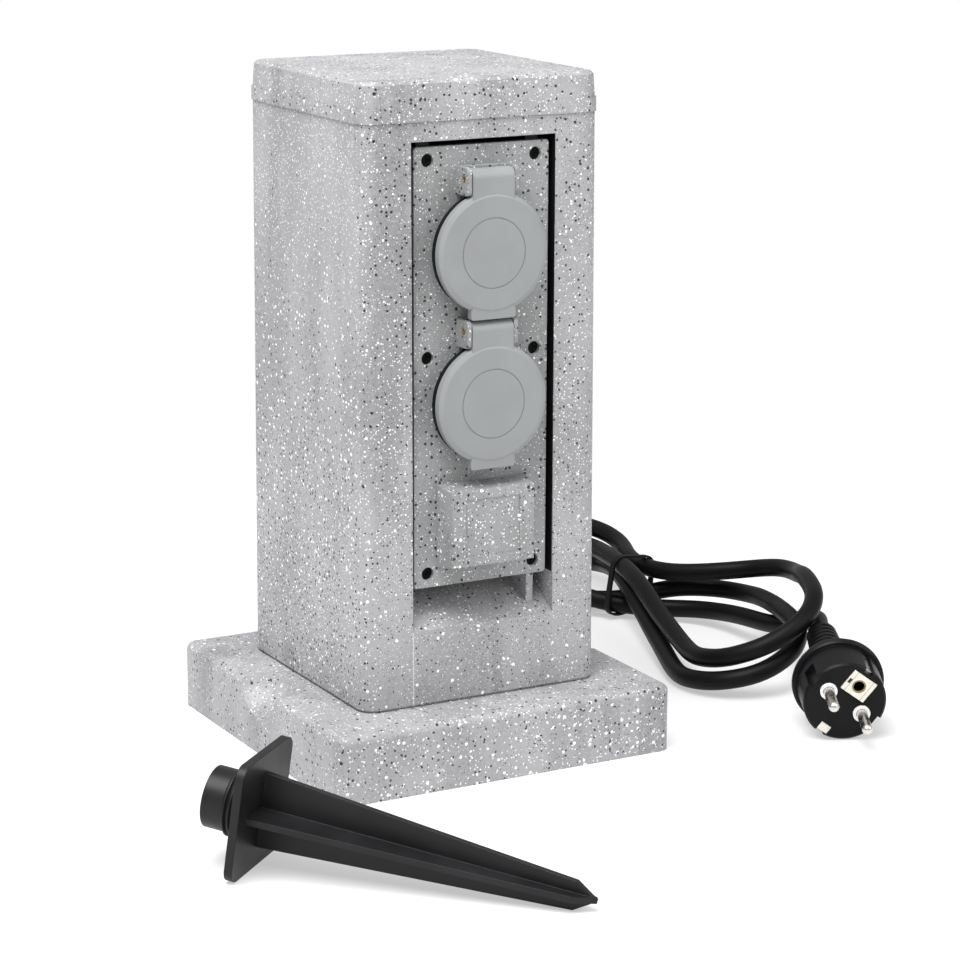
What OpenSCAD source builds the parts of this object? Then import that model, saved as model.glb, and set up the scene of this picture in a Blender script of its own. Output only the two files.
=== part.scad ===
// Garden socket post: square pillar on a base plate, two lidded sockets, a mains lead and a loose ground spike.
// Millimetres, +Z up, the socket panel faces -Y, origin at the centre of the base's underside.

/* [Base] */
// Width and depth of the base plate
base_w = 164.4; // [150:0.2:180]
// Height of the base plate
base_h = 30.5; // [28:0.5:36]
// Radius of the base's upright corners
base_corner_r = 5; // [5:0.5:12]
// Radius of the base's top edge
base_edge_r = 3.5; // [2:0.5:4.5]
// Wall and top thickness of the base
base_wall = 4; // [3:0.5:5]
// Radius of the hand scoops in the base's sides
scoop_r = 20; // [14:1:22]

/* [Pillar] */
// Pillar width at the base
pillar_w = 116.4; // [110:0.2:124]
// How far each side of the pillar leans in by its top
pillar_lean = 1.35; // [0:0.05:3]
// Height of the pillar's top edge above the floor
pillar_top_z = 283.3; // [283:0.1:300]
// Radius of the pillar's upright corners at the base
pillar_corner_r = 8.5; // [6:0.5:12]
// Wall thickness of the pillar
pillar_wall = 3.2; // [2.5:0.1:4]

/* [Cap] */
// How far the cap's lip stands out past the pillar's top
cap_over = 0.8; // [0.2:0.1:4]
// Height of the cap's lip band
cap_lip_h = 6.1; // [4:0.1:9]
// Height of the whole cap above the pillar
cap_h = 17.1; // [12:0.1:24]

/* [Panel] */
// Width of the socket panel
panel_w = 64.6; // [62:0.2:66]
// Lower edge of the socket panel
panel_z0 = 82.5; // [78:0.5:84]
// Upper edge of the socket panel
panel_z1 = 272.6; // [271:0.1:276]
// Thickness of the socket panel
panel_t = 4; // [3.5:0.1:5]
// Dark gap round the panel
panel_gap = 2.1; // [1.5:0.1:2.6]
// Depth of the panel's face behind the pillar's base line
panel_back = 3.3; // [2.8:0.1:4.2]
// Lower front edge of the recess
recess_z0 = 64.3; // [60:0.5:68]
// Slope of the recess's sill
sill_angle = 31; // [25:1:36]

/* [Sockets and lids] */
// Height of the upper lid's hinge axis
upper_axis_z = 259.3; // [258:0.1:262]
// Distance between the two hinge axes
lid_pitch = 64.7; // [64:0.1:68]
// Radius of a lid's disc
lid_r = 25.95; // [24.5:0.05:26]
// Thickness of a lid's disc
lid_t = 4.2; // [3.6:0.1:5]
// Distance from a hinge axis down to the lid's centre
lid_drop = 31.6; // [31:0.1:32]
// Radius of a lid's hinge barrel
barrel_r = 4.2; // [3.9:0.1:4.3]
// Radius of a hinge pin
hinge_pin_r = 1.7; // [1.4:0.1:1.9]
// Radius of a socket's well
well_r = 19.75; // [19.5:0.05:19.9]
// Depth of a socket's well
well_depth = 17.5; // [16:0.5:18]

/* [Spike] */
// Side of the spike's square flange
spike_flange_w = 49; // [44:1:52]
// Length of the spike's blade from the flange to the tip
spike_l = 141; // [125:1:150]
// Width of the blade at the flange
spike_w0 = 32; // [28:1:36]
// Width of the blade where its point starts
spike_w1 = 12; // [9:0.5:14]
// Radius of the spike's thread
spike_thread_r = 14; // [12:0.5:14.5]

/* [Cord] */
// Diameter of the mains lead
cord_d = 9; // [8:0.1:9.4]

/* [Hidden] */
$fa = 6;
$fs = 0.6;

// Clearances
fit_gap = 0.3;
pin_play = 0.05;
press_play = 0.02;
thread_play = 0.3;

// Pillar places
pillar_z0 = base_h;
pillar_h = pillar_top_z - pillar_z0;
pillar_hw = pillar_w / 2;
pillar_top_w = pillar_w - 2 * pillar_lean;
cap_lip_w = pillar_top_w + 2 * cap_over;
seam_h = 1;
seam_in = 0.9;
flange_t = 4;
cable_opening_r = 30;
boss_xy = 40;
boss_r = 5.5;
boss_h = 14;
base_screw_r = 2.4;
base_screw_head_r = 4.5;
base_screw_head_h = 3;
base_screw_l = 15;
cap_step = 0.45;
cap_lean = 0.7;
cap_edge = 1.3;
spigot_l = 5;
spigot_corner_r = 3;

// Base places
base_inner_r = max(base_corner_r - base_wall, 1);
scoop_out = 2;
scoop_up = 5.5;
scoop_x = base_w / 2 + scoop_out;
scoop_z = base_h + scoop_up;
spike_socket_r = spike_thread_r + thread_play;
spike_socket_l = 20;
spike_boss_wall = 4;
spike_boss_r = spike_socket_r + spike_boss_wall;
rib_t = 3;
rib_z0 = 2;

// Panel places, depth measured along Y
panel_y = -pillar_hw + panel_back;
panel_rear = panel_y + panel_t;
panel_hw = panel_w / 2;
panel_corner_r = 1.5;
recess_hw = panel_hw + panel_gap;
recess_z1 = panel_z1 + panel_gap + fit_gap;
recess_wall = 2.5;
recess_depth = 26.9;
sill_depth = 20.9;
recess_rear = panel_y + recess_depth;
sill_rear = panel_y + sill_depth;
sill_t = 3.5;
rail_x0 = 23;
rail_x1 = 29.2;
rib_x0 = 25;
rib_w = 3.5;
web_t = 3;
screw_x = 25.8;
screw_low = 6.1;
screw_mid = 100.5;
screw_high = 5.7;
screw_z = [panel_z0 + screw_low, panel_z0 + screw_mid, panel_z1 - screw_high];
screw_hole_r = 2.85;
screw_head_r = 2.7;
screw_head_h = 1.4;
screw_ledge = 1;
screw_r = 1.5;
screw_l = 12;

// Hinge and lid places
axis_out = 6.8;
axis_y = panel_y - axis_out;
axis_zs = [upper_axis_z, upper_axis_z - lid_pitch];
ear_x0 = 10.25;
ear_x1 = 12.2;
ear_down = 7.2;
ear_up = 4.6;
ear_front = 3.7;
ear_corner_r = 2;
web_y = 3.1;
web_z0 = 2.8;
barrel_play = 0.35;
barrel_hw = ear_x0 - barrel_play;
lid_behind = 0.4;
lid_rear = axis_y - lid_behind;
lid_front = lid_rear - lid_t;
lid_bevel = 2;
lid_bevel_h = 1.1;
lid_ring_r = 14.7;
lid_ring_w = 0.4;
lid_ring_d = 0.2;
tab_hw = 10.65;
tab_down = 2.2;
tab_up = 3;
spring_hw = 4.2;
spring_r = 3.3;
spring_leg = 0.8;
spring_pocket_r = spring_r + fit_gap;
collar_r = 23.3;
well_wall = 1.2;
collar_bore_r = well_r + well_wall + fit_gap;
collar_out = 4.1;
collar_front = panel_y - collar_out;
seal_inset = 0.4;
seal_play = 0.6;
seal_r = lid_r - seal_inset;
seal_in_r = collar_r + seal_play;
seal_lip = 3.6;
seal_flange_r = 19;

// Blank boss on the lower panel
blank_hw = 21.8;
blank_rise = 8.5;
blank_z0 = panel_z0 + blank_rise;
blank_h = 36.8;
blank_out = 11.5;
blank_inset = 1.75;
blank_window = [26, 25];
blank_window_d = 0.4;

// Housing places
seal_t = 1;
housing_hw = rail_x0 - fit_gap;
housing_wall = 1.4;
housing_front = panel_rear + seal_t;
housing_depth = 45.4;
housing_low = 3.5;
housing_high = 4.6;
housing_rear = panel_y + housing_depth;
housing_z0 = panel_z0 + housing_low;
housing_z1 = panel_z1 - housing_high;
post_x = 17.6;
post_r = 3.2;
housing_screw_r = 1.4;
post_in = 6;
post_zs = [housing_z0 + post_in, housing_z1 - post_in];

// Socket insert places
insert_back = 0.4;
insert_r = well_r + well_wall;
insert_front = collar_front + insert_back;
well_floor = insert_front + well_depth;
floor_t = 3;
insert_ear = [10, 5];
pin_pitch = 19;
sleeve_r = 3.2;
sleeve_bore_r = 2.45;
pin_hole_r = 2.6;
block_hx = 15;
block_hz = 6;
block_l = 12;
sleeve_out = 2;
block_rear = well_floor + floor_t + block_l;
sleeve_rear = block_rear + sleeve_out;
clip_w = 5;
clip_t = 0.8;
clip_slot = 0.2;
clip_in = 3.5;
clip_out = 1.6;
clip_front = insert_front + clip_in;
clip_rear = block_rear + clip_out;

// Wiring places
wire_r = 1.4;
wire_depth = 37.9;
gland_depth = 33.9;
wire_y = panel_y + wire_depth;
gland_y = panel_y + gland_depth;
gland_r = 6;
gland_nut_r = 9;
wire_low = 18;
gland_in = 6;
gland_out = 12;
wire_low_z = housing_z0 + wire_low;
gland_top_z = housing_z0 + gland_in;
gland_low_z = housing_z0 - gland_out;
wire_fan = 0.36;
wire_knee = 0.1;
wire_knee_r = wire_r + wire_knee;
wire_tail = 3;
cable_short = 3.3;
cable_end = gland_top_z - cable_short;

// Cord exit and sleeve
cord_r = cord_d / 2;
exit_z = 46;
exit_y = pillar_hw;
sleeve_bend_r = 20;
sleeve_hole_r = 8.2;
sleeve_neck_play = 0.2;
sleeve_neck_r = sleeve_hole_r - sleeve_neck_play;
sleeve_tip_r = 6.4;
sleeve_flange_r = 11;
sleeve_flange_t = 2.5;
sleeve_l = 35;
sleeve_end_y = exit_y + sleeve_l;
sleeve_ribs = 5;
sleeve_rib_w = 2.2;
sleeve_play = 0.1;

// Spike as it lies on the floor
spike_foot = [-138, -127.8];
spike_yaw = -48.4;
spike_flange_t = 3.5;
spike_corner_r = 6;
spike_point = 9;
fin_t = 2.6;
spike_thread_l = 9;
spike_pilot_l = 9;
spike_pilot_in = 1.3;
spike_pilot_r = spike_thread_r - spike_pilot_in;
spike_turns = 4;
spike_tilt = atan((spike_flange_w - spike_w1) / 2 / (spike_l - spike_point));

// Plug as it lies on the floor: centre of its face, heading, nose-down tilt and roll
plug_face = [156.8, -109.5, 18.7];
plug_yaw = -26.5;
plug_tilt = 7.2;
plug_roll = -36;
plug_r = 18.7;
plug_barrel_l = 20;
plug_flange_r = 21;
plug_flange_t = 4;
plug_cone_l = 22;
plug_cone_r0 = 17.5;
plug_cone_r1 = 9;
boot_l = 30;
boot_r0 = 7.6;
boot_r1 = 6.3;
boot_ribs = 6;
boot_rib_w = 2;
plug_pin_r = 2.4;
plug_pin_l = 19;
pin_collar_r = 3.9;
pin_collar_h = 1;
pin_root = 6;
earth_y = 9.8;
earth_hw = 6.3;
earth_hz = 5.2;
earth_pad = [5, 3.6];
earth_pad_y = -15.2;
earth_h = 0.9;
earth_hole_r = 2.5;
earth_depth = 12;
notch_w = 6;
notch_d = 2.2;
notch_l = 13;
strip_w = 4;
strip_t = 1;
strip_back = 3;

// Hank: a figure-of-eight belt round three folds, right, near and back, wound twice and tied at its crossing.
// Each list has one entry for each turn, the upper turn first
hank_turns = 2;
fold_right = [[193, 40], [186, 60]];
fold_right_r = [33, 33];
fold_right_a = [[41, -25], [35, -23]];
fold_near = [[172, -12], [164.5, -11]];
fold_near_r = [29, 29];
fold_near_a = [[-32, -194], [-19, -192]];
fold_back = [[157, 183], [165, 174]];
fold_back_r = [33, 31];
fold_back_a = [[-5, 211], [-8, 201]];
right_rings = 5;
near_rings = 9;
back_rings = 9;

// Lift of each fold and side above a strand on the floor, from its start to its end, and where along it
lift_right = [[26.5, 30.5, 32.5], [12.5, 13, 15.5]];
lift_side = [[38.5], [20.5]];
lift_near = [[37.5, 30, 20.5, 13, 9.5], [21.5, 15, 7.5, 3, 0.7]];
lift_cross = [[14, 22.5, 22], [4, 10, 13.5]];
lift_back = [[15.5, 11, 3, 0.5], [6, 1.5, 4, 11.5]];
lift_under = [1, 2, 11];
right_at = [0, 0.5, 1];
side_at = [0.5];
near_at = [0, 0.25, 0.5, 0.75, 1];
cross_at = [0.25, 0.5, 0.75];
back_at = [0, 0.3, 0.7, 1];
under_at = [0.3, 0.55, 0.8];
tube_sides_hank = 6;
tube_sides_run = 8;

// Route of the cord from the sleeve to the hank, behind the post and over the hank's back folds
outlet_route = [
    [6, 124, 45.5],
    [24, 148, 44],
    [61, 168, 40.5],
    [93, 180, 38],
    [127, 196, 34],
    [163, 201, 32],
    [186, 190.5, 30.5],
    [197, 171.5, 28.5],
    [197.5, 152, 26],
    [189.5, 130, 24.5],
    [186.5, 110.5, 24.5],
    [191.5, 91, 25.5],
    [205, 73, 28.5]
];

// Route of the cord from the hank to the plug, under the hank's crossing and its right sides
plug_route = [
    [147, 138, 14],
    [162.5, 114, 8.5],
    [184, 97, 6.2],
    [199.5, 81, 7.5],
    [206, 62, 9.5],
    [206, 43, 12],
    [206.5, 24, 13.5],
    [208.5, 6, 17.5],
    [207.5, -12.5, 25.5],
    [198.5, -29, 29.5]
];

// Tie: a band round the strands where they pass through its plane
tie_at = [184, 110];
tie_turn = 100;
tie_w = 3;
tie_t = 1;
tie_room = 0.5;
tie_span = 40;

// A point on a circle
function on_circle(c, r, a) = c + r * [cos(a), sin(a)];

// A plane point with a height
function at_height(p, z) = [p.x, p.y, z];

// A point part of the way from one to another
function between(a, b, u) = a + (b - a) * u;

// Height a share of the way along a fold, from the lifts at given shares
function lifted(lifts, at, u) = cord_r + lookup(u, [for (i = [0 : len(at) - 1]) [at[i], lifts[i]]]);

// A fold: points round part of a circle
function fold(c, r, a, rings, lifts, at) = [
    for (i = [0 : rings - 1])
        let (u = i / (rings - 1))
        at_height(on_circle(c, r, between(a[0], a[1], u)), lifted(lifts, at, u))
];

// The right fold, the near fold and the back fold of a turn
function right_fold(k) =
    fold(fold_right[k], fold_right_r[k], fold_right_a[k], right_rings, lift_right[k], right_at);
function near_fold(k) =
    fold(fold_near[k], fold_near_r[k], fold_near_a[k], near_rings, lift_near[k], near_at);
function back_fold(k) =
    fold(fold_back[k], fold_back_r[k], fold_back_a[k], back_rings, lift_back[k], back_at);

// A side: points between the end of one fold and the start of the next
function side(from, to, lifts, at) =
    let (
        a = from[len(from) - 1],
        b = to[0])
    [for (u = at) at_height(between(a, b, u), lifted(lifts, at, u))];

// One turn of the hank: over the plug run to the near fold, up over the crossing, and back under it
function hank_turn(k) = concat(
    right_fold(k),
    side(right_fold(k), near_fold(k), lift_side[k], side_at),
    near_fold(k),
    side(near_fold(k), back_fold(k), lift_cross[k], cross_at),
    back_fold(k),
    k < hank_turns - 1 ? side(back_fold(k), right_fold(k + 1), lift_under, under_at) : []);

// Direction of the plug's pins and a point on its axis, measured back from its face
plug_dir = [sin(plug_yaw) * cos(plug_tilt), -cos(plug_yaw) * cos(plug_tilt), -sin(plug_tilt)];
boot_end = plug_barrel_l + plug_flange_t + plug_cone_l + boot_l;
function plug_point(back) = plug_face - back * plug_dir;

// The whole cord and the places where its stretches meet
outlet_points = concat([[0, sleeve_end_y, exit_z], [0, sleeve_end_y + 12, exit_z]], outlet_route);
hank_points = [for (k = [0 : hank_turns - 1]) each hank_turn(k)];
plug_points = concat(plug_route, [plug_point(boot_end + cord_d), plug_point(boot_end)]);
cord_points = concat(outlet_points, hank_points, plug_points);
hank_first = len(outlet_points);
hank_last = hank_first + len(hank_points) - 1;
cord_last = len(cord_points) - 1;

// Where the strands pass through the tie's plane: across it, their height, and how far they lean
tie_along = [cos(tie_turn), sin(tie_turn)];
tie_across = [sin(tie_turn), -cos(tie_turn)];
function in_plan(p) = [p.x, p.y];
function past_tie(p) = (in_plan(p) - tie_at) * tie_along;
tie_strands = [
    for (i = [0 : cord_last - 1])
        let (
            a = cord_points[i],
            b = cord_points[i + 1],
            p = between(a, b, past_tie(a) / (past_tie(a) - past_tie(b))),
            across = (in_plan(p) - tie_at) * tie_across,
            run = in_plan(b - a))
        if (past_tie(a) * past_tie(b) < 0 && abs(across) < tie_span)
            [across, p.z, abs((run * tie_across) / (run * tie_along))]
];

// Direction of the cord at a ring
function unit(v) = v / norm(v);
function cord_dir(i) = unit(
    cord_points[min(i + 1, cord_last)] - cord_points[max(i - 1, 0)]);

// One ring of points round the cord
function cord_ring(i, n) =
    let (
        t = cord_dir(i),
        s = unit(cross(t, [0, 0, 1])),
        u = cross(s, t))
    [for (j = [0 : n - 1]) cord_points[i] + cord_r * (cos(360 * j / n) * s + sin(360 * j / n) * u)];

// Length of the cord and its least gap to itself, measured on points along it
function sum(v, i = 0) = i < len(v) ? v[i] + sum(v, i + 1) : 0;
cord_length = sum([for (i = [1 : cord_last]) norm(cord_points[i] - cord_points[i - 1])]);
sub_points = 5;
cord_samples = [
    for (i = [0 : cord_last - 1])
        for (j = [0 : sub_points - 1])
            between(cord_points[i], cord_points[i + 1], j / sub_points)
];
sample_skip = 2 * sub_points;
cord_gap = min([
    for (i = [0 : len(cord_samples) - 1])
        for (j = [i + sample_skip : 1 : len(cord_samples) - 1])
            norm(cord_samples[i] - cord_samples[j])
]) - cord_d;
echo(cord_length = cord_length, least_gap = cord_gap);

// A square with round corners
module round_square(w, d, r) {
    square([w - 2 * r, d], center = true);
    square([w, d - 2 * r], center = true);
    for (x = [-1, 1], y = [-1, 1])
        translate([x * (w / 2 - r), y * (d / 2 - r)])
            circle(r);
}

// A column whose sides lean in evenly, with cone corners
module leaning_block(w0, w1, h, r) {
    flat = w0 - 2 * r;
    for (turn = [0, 90])
        rotate([0, 0, turn])
            rotate([90, 0, 0])
                linear_extrude(flat, center = true)
                    polygon([[-w0 / 2, 0], [w0 / 2, 0], [w1 / 2, h], [-w1 / 2, h]]);
    for (x = [-1, 1], y = [-1, 1])
        translate([x * flat / 2, y * flat / 2, 0])
            cylinder(h = h, r1 = r, r2 = r - (w0 - w1) / 2);
}

// What a round top edge takes away, drawn outwards from an upright corner's centre
module edge_waste(r, e) {
    difference() {
        translate([r - e, 0])
            square(e + 1);
        translate([r - e, 0])
            circle(e);
    }
}

// A square block with round upright corners and a round top edge
module soft_block(w, h, r, e) {
    in = w / 2 - r;
    difference() {
        linear_extrude(h)
            round_square(w, w, r);
        for (turn = [0 : 90 : 270])
            rotate([0, 0, turn]) {
                translate([-in, in, h - e])
                    rotate([90, 0, 90])
                        linear_extrude(2 * in)
                            edge_waste(r, e);
                translate([in, in, h - e])
                    rotate_extrude(angle = 90)
                        edge_waste(r, e);
            }
    }
}

// Move to each pillar screw
module at_bosses() {
    for (x = [-1, 1], y = [-1, 1])
        translate([x * boss_xy, y * boss_xy, 0])
            children();
}

module base_plate() {
    inner_w = base_w - 2 * base_wall;
    top_z = base_h - base_wall;
    color([0.68, 0.68, 0.7])
        difference() {
            soft_block(base_w, base_h, base_corner_r, base_edge_r);
            for (side = [-1, 1])
                translate([side * scoop_x, 0, scoop_z])
                    sphere(scoop_r);
            difference() {
                translate([0, 0, -1])
                    linear_extrude(top_z + 1)
                        round_square(inner_w, inner_w, base_inner_r);
                for (side = [-1, 1])
                    translate([side * scoop_x, 0, scoop_z])
                        sphere(scoop_r + base_wall);
                cylinder(h = top_z, r = spike_boss_r);
                for (turn = [45 : 90 : 315])
                    rotate([0, 0, turn])
                        translate([spike_boss_r - 1, -rib_t / 2, rib_z0])
                            cube([base_w / 2 - spike_boss_r, rib_t, top_z - rib_z0]);
                at_bosses()
                    translate([0, 0, top_z - base_screw_head_h - 2])
                        cylinder(h = base_screw_head_h + 3, r = base_screw_head_r + 2);
            }
            translate([0, 0, -1])
                cylinder(h = spike_socket_l + 1, r = spike_socket_r);
            at_bosses() {
                translate([0, 0, -1])
                    cylinder(h = top_z + 1, r = base_screw_head_r + fit_gap);
                cylinder(h = base_h + 1, r = base_screw_r + fit_gap);
            }
        }
}

module base_screws() {
    color([0.55, 0.55, 0.56])
        at_bosses()
            translate([0, 0, base_h - base_wall]) {
                translate([0, 0, -base_screw_head_h])
                    cylinder(h = base_screw_head_h, r = base_screw_head_r);
                cylinder(h = base_screw_l, r = base_screw_r);
            }
}

// The sloped sill below the panel
module sill() {
    run = sill_rear + pillar_hw;
    rise = run * tan(sill_angle);
    translate([-recess_hw - recess_wall, 0, 0])
        rotate([90, 0, 90])
            linear_extrude(2 * (recess_hw + recess_wall))
                polygon([
                    [-pillar_hw + pillar_wall / 2, recess_z0 - sill_t],
                    [-pillar_hw, recess_z0],
                    [sill_rear, recess_z0 + rise],
                    [sill_rear, recess_z0 + rise - sill_t]
                ]);
}

module pillar_shell() {
    inner_w = pillar_w - 2 * pillar_wall;
    inner_top_w = pillar_top_w - 2 * pillar_wall;
    depth = recess_rear + pillar_hw;
    color([0.68, 0.68, 0.7])
        difference() {
            union() {
                difference() {
                    translate([0, 0, pillar_z0])
                        leaning_block(pillar_w, pillar_top_w, pillar_h, pillar_corner_r);
                    translate([0, 0, pillar_z0 + flange_t])
                        leaning_block(inner_w, inner_top_w, pillar_h, pillar_corner_r - pillar_wall);
                    translate([-recess_hw, -pillar_hw - 1, recess_z0])
                        cube([2 * recess_hw, depth, recess_z1 - recess_z0]);
                }
                intersection() {
                    union() {
                        sill();
                        for (side = [-1, 1]) {
                            translate([side * (recess_hw + recess_wall / 2), recess_rear - depth / 2, 0])
                                translate([-recess_wall / 2, -depth / 2, recess_z0 - sill_t])
                                    cube([recess_wall, depth, recess_z1 + recess_wall - recess_z0 + sill_t]);
                            translate([side * (rail_x0 + rail_x1) / 2, 0, 0])
                                translate([(rail_x0 - rail_x1) / 2, panel_rear, panel_z0])
                                    cube([rail_x1 - rail_x0, recess_rear - panel_rear, recess_z1 - panel_z0]);
                            translate([side * (rail_x0 + recess_hw + 1) / 2, 0, 0])
                                translate([(rail_x0 - recess_hw - 1) / 2, recess_rear - web_t, recess_z0])
                                    cube([recess_hw + 1 - rail_x0, web_t, recess_z1 - recess_z0]);
                        }
                        translate([rib_x0, panel_rear, recess_z0])
                            cube([rib_w, recess_rear - panel_rear, panel_z0 + 1 - recess_z0]);
                        translate([-recess_hw - recess_wall, -pillar_hw, recess_z1])
                            cube([2 * (recess_hw + recess_wall), depth, recess_wall]);
                    }
                    translate([0, 0, pillar_z0])
                        leaning_block(pillar_w - 0.2, pillar_top_w - 0.2, pillar_h, pillar_corner_r - 0.1);
                }
                at_bosses()
                    translate([0, 0, pillar_z0 + flange_t - 1])
                        cylinder(h = boss_h, r = boss_r);
            }
            seam_cut();
            translate([0, 0, pillar_z0 - 1])
                cylinder(h = flange_t + 2, r = cable_opening_r);
            at_bosses()
                translate([0, 0, pillar_z0 - 1])
                    cylinder(h = boss_h + 2, r = base_screw_r + sleeve_play);
            at_panel_screws()
                translate([0, panel_rear - 1, 0])
                    rotate([-90, 0, 0])
                        cylinder(h = screw_l + 1, r = screw_r + sleeve_play);
            translate([0, exit_y - pillar_wall - 2, exit_z])
                rotate([-90, 0, 0])
                    cylinder(h = pillar_wall + 4, r = sleeve_hole_r);
        }
}

// The shadow line where the pillar meets the base
module seam_cut() {
    translate([0, 0, pillar_z0 - 1])
        linear_extrude(seam_h + 1)
            difference() {
                square(pillar_w + 2, center = true);
                round_square(pillar_w - 2 * seam_in, pillar_w - 2 * seam_in, pillar_corner_r - seam_in);
            }
}

module top_cap() {
    body_h = cap_h - cap_lip_h;
    body_w = cap_lip_w - 2 * cap_step;
    top_w = body_w - 2 * cap_lean;
    spigot_w = pillar_top_w - 2 * pillar_wall - 2 * fit_gap;
    color([0.72, 0.72, 0.74])
        translate([0, 0, pillar_top_z])
            difference() {
                union() {
                    linear_extrude(cap_lip_h)
                        round_square(cap_lip_w, cap_lip_w, pillar_corner_r);
                    translate([0, 0, cap_lip_h])
                        leaning_block(body_w, top_w, body_h - cap_edge, pillar_corner_r);
                    translate([0, 0, cap_h - cap_edge])
                        leaning_block(top_w, top_w - 2 * cap_edge, cap_edge, pillar_corner_r - cap_lean);
                    translate([0, 0, -spigot_l])
                        linear_extrude(spigot_l + 1)
                            round_square(spigot_w, spigot_w, pillar_corner_r - pillar_wall);
                }
                translate([0, 0, -spigot_l - 1])
                    linear_extrude(spigot_l + cap_h - pillar_wall + 1)
                        round_square(spigot_w - 2 * pillar_wall, spigot_w - 2 * pillar_wall, spigot_corner_r);
            }
}

// Move to each panel screw
module at_panel_screws() {
    for (x = [-1, 1], z = screw_z)
        translate([x * screw_x, 0, z])
            children();
}

// Lay a turned profile round a socket's axis, which runs out of the panel along -Y
module face_out(axis_z) {
    translate([0, 0, axis_z - lid_drop])
        rotate([90, 0, 0])
            children();
}

// One pair of hinge ears with the web that joins them
module hinge_ears(axis_z) {
    front = axis_y - ear_front;
    for (side = [-1, 1])
        translate([side * (ear_x0 + ear_x1) / 2, 0, axis_z])
            rotate([90, 0, 90])
                linear_extrude(ear_x1 - ear_x0, center = true)
                    difference() {
                        union() {
                            translate([front + ear_corner_r, -ear_down])
                                square([panel_y - front - ear_corner_r + 1, ear_down + ear_up]);
                            translate([front, -ear_down + ear_corner_r])
                                square([ear_corner_r + 1, ear_down + ear_up - 2 * ear_corner_r]);
                            for (z = [-ear_down + ear_corner_r, ear_up - ear_corner_r])
                                translate([front + ear_corner_r, z])
                                    circle(ear_corner_r);
                        }
                        translate([axis_y, 0])
                            circle(hinge_pin_r + press_play);
                    }
    translate([-ear_x1, panel_y - web_y, axis_z + web_z0])
        cube([2 * ear_x1, web_y + 1, ear_up - web_z0]);
}

// The blank boss, with planes that lean in on all four sides
module blank_boss() {
    hz = blank_h / 2;
    difference() {
        translate([0, panel_y + 1, blank_z0 + hz])
            rotate([90, 0, 0])
                intersection() {
                    rotate([90, 0, 0])
                        linear_extrude(blank_h, center = true)
                            polygon([
                                [-blank_hw, 0],
                                [blank_hw, 0],
                                [blank_hw - blank_inset, blank_out + 1],
                                [-blank_hw + blank_inset, blank_out + 1]
                            ]);
                    rotate([90, 0, 90])
                        linear_extrude(2 * blank_hw, center = true)
                            polygon([
                                [-hz, 0],
                                [hz, 0],
                                [hz - blank_inset, blank_out + 1],
                                [-hz + blank_inset, blank_out + 1]
                            ]);
                }
        translate([0, panel_y - blank_out, blank_z0 + hz])
            cube([blank_window.x, 2 * blank_window_d, blank_window.y], center = true);
    }
}

module socket_panel() {
    color([0.68, 0.68, 0.7])
        difference() {
            union() {
                translate([0, panel_rear, (panel_z0 + panel_z1) / 2])
                    rotate([90, 0, 0])
                        linear_extrude(panel_t)
                            round_square(panel_w, panel_z1 - panel_z0, panel_corner_r);
                for (axis_z = axis_zs) {
                    hinge_ears(axis_z);
                    face_out(axis_z)
                        translate([0, 0, -panel_y - 1])
                            cylinder(h = panel_y - collar_front + 1, r = collar_r);
                }
                blank_boss();
            }
            for (axis_z = axis_zs)
                face_out(axis_z)
                    translate([0, 0, -panel_rear - 1])
                        cylinder(h = panel_rear - collar_front + 2, r = collar_bore_r);
            at_panel_screws()
                rotate([90, 0, 0]) {
                    translate([0, 0, -panel_rear - 1])
                        cylinder(h = panel_t + 2, r = screw_r + fit_gap);
                    translate([0, 0, -panel_rear + screw_ledge])
                        cylinder(h = panel_t, r = screw_hole_r);
                }
            at_housing_screws()
                translate([0, panel_rear - panel_t / 2, 0])
                    rotate([-90, 0, 0])
                        cylinder(h = panel_t, r = housing_screw_r + sleeve_play);
        }
}

module panel_screws() {
    slot = [0.9, 0.6];
    color([0.12, 0.12, 0.12])
        at_panel_screws()
            translate([0, panel_rear - screw_ledge, 0])
                rotate([-90, 0, 0]) {
                    cylinder(h = screw_l, r = screw_r);
                    difference() {
                        translate([0, 0, -screw_head_h])
                            cylinder(h = screw_head_h, r = screw_head_r);
                        translate([0, 0, -screw_head_h])
                            cube([2 * slot.x + 1.4, slot.x, 2 * slot.y], center = true);
                        translate([0, 0, -screw_head_h])
                            cube([slot.x, 2 * slot.x + 1.4, 2 * slot.y], center = true);
                    }
                }
}

// A plate of the housing's outline, with its four screw posts kept or bored
module housing_outline(inset, r) {
    translate([0, (housing_z0 + housing_z1) / 2])
        round_square(2 * (housing_hw - inset), housing_z1 - housing_z0 - 2 * inset, r);
}

// Move to each housing screw
module at_housing_screws() {
    for (x = [-1, 1], z = post_zs)
        translate([x * post_x, 0, z])
            children();
}

module panel_seal() {
    color([0.06, 0.06, 0.06])
        translate([0, housing_front, 0])
            rotate([90, 0, 0])
                linear_extrude(seal_t)
                    difference() {
                        housing_outline(0, 3);
                        housing_outline(housing_wall, 2);
                    }
}

module rear_housing() {
    depth = housing_rear - housing_front;
    color([0.2, 0.2, 0.21])
        difference() {
            union() {
                translate([0, housing_rear, 0])
                    rotate([90, 0, 0])
                        difference() {
                            linear_extrude(depth)
                                housing_outline(0, 3);
                            translate([0, 0, 2])
                                linear_extrude(depth)
                                    housing_outline(housing_wall, 2);
                        }
                at_housing_screws()
                    translate([0, housing_front, 0])
                        rotate([-90, 0, 0])
                            cylinder(h = depth - 1, r = post_r);
            }
            at_housing_screws()
                translate([0, housing_front - 1, 0])
                    rotate([-90, 0, 0])
                        cylinder(h = depth + 2, r = housing_screw_r + fit_gap);
            translate([0, gland_y, housing_z0 - 1])
                cylinder(h = 4, r = gland_r + fit_gap);
        }
}

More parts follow.
